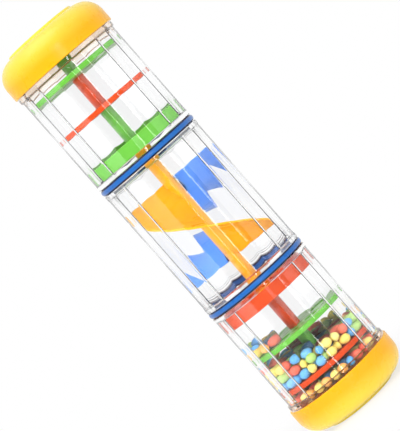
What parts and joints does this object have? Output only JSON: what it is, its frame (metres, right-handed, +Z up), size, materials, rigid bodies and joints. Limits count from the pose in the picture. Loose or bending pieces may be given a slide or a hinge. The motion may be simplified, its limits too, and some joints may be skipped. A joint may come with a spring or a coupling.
{
  "type": "rain stick",
  "caption": "Clear toy rain stick: fluted tube sections between domed caps, joined at rings, with stacked baffles, a helical vane and loose beads that trickle when turned over.",
  "frame": {"origin": "middle of the lower end face, on which the stick stands", "axes": "+Z up along the stick's axis, -Y towards the viewer, +X to the right"},
  "size_m": [0.0514, 0.0514, 0.2],
  "materials": {
    "cap_yellow": "glossy moulded plastic",
    "clear_tube": "clear polished plastic",
    "ring_blue": "glossy moulded plastic",
    "baffle_red": "satin moulded plastic",
    "baffle_green": "satin moulded plastic",
    "vane_orange": "satin moulded plastic",
    "vane_blue": "satin moulded plastic",
    "bead_yellow": "glossy plastic beads",
    "bead_green": "glossy plastic beads",
    "bead_blue": "glossy plastic beads",
    "bead_red": "glossy plastic beads",
    "bead_orange": "glossy plastic beads"
  },
  "bodies": {
    "stick": {"lower_cap": "cap_yellow", "upper_cap": "cap_yellow", "lower_tube": "clear_tube", "middle_tube": "clear_tube", "upper_tube": "clear_tube", "lower_ring": "ring_blue", "upper_ring": "ring_blue", "lower_cup": "baffle_red", "lower_inner_baffle": "baffle_green", "lower_outer_baffle": "baffle_red", "upper_cup": "baffle_green", "upper_inner_baffle": "baffle_red", "upper_outer_baffle": "baffle_green", "orange_vane": "vane_orange", "blue_vane": "vane_blue"},
    "end_beads": {"end_beads_yellow": "bead_yellow", "end_beads_green": "bead_green", "end_beads_blue": "bead_blue", "end_beads_red": "bead_red", "end_beads_orange": "bead_orange"},
    "main_beads": {"main_beads_yellow": "bead_yellow", "main_beads_green": "bead_green", "main_beads_blue": "bead_blue", "main_beads_red": "bead_red", "main_beads_orange": "bead_orange"},
    "top_beads": {"top_beads_yellow": "bead_yellow", "top_beads_green": "bead_green", "top_beads_blue": "bead_blue", "top_beads_red": "bead_red", "top_beads_orange": "bead_orange"}
  },
  "joints": [
    {"name": "end_beads_roll", "type": "hinge", "parent": "stick", "child": "end_beads", "pos_m": [0, 0, 0.0176], "axis": [0, 0, 1], "continuous": true},
    {"name": "main_beads_roll", "type": "hinge", "parent": "stick", "child": "main_beads", "pos_m": [0, 0, 0.03], "axis": [0, 0, 1], "continuous": true},
    {"name": "top_beads_fall", "type": "slide", "parent": "stick", "child": "top_beads", "axis": [0, 0, 1], "range_m": [0, 0.0074]}
  ]
}
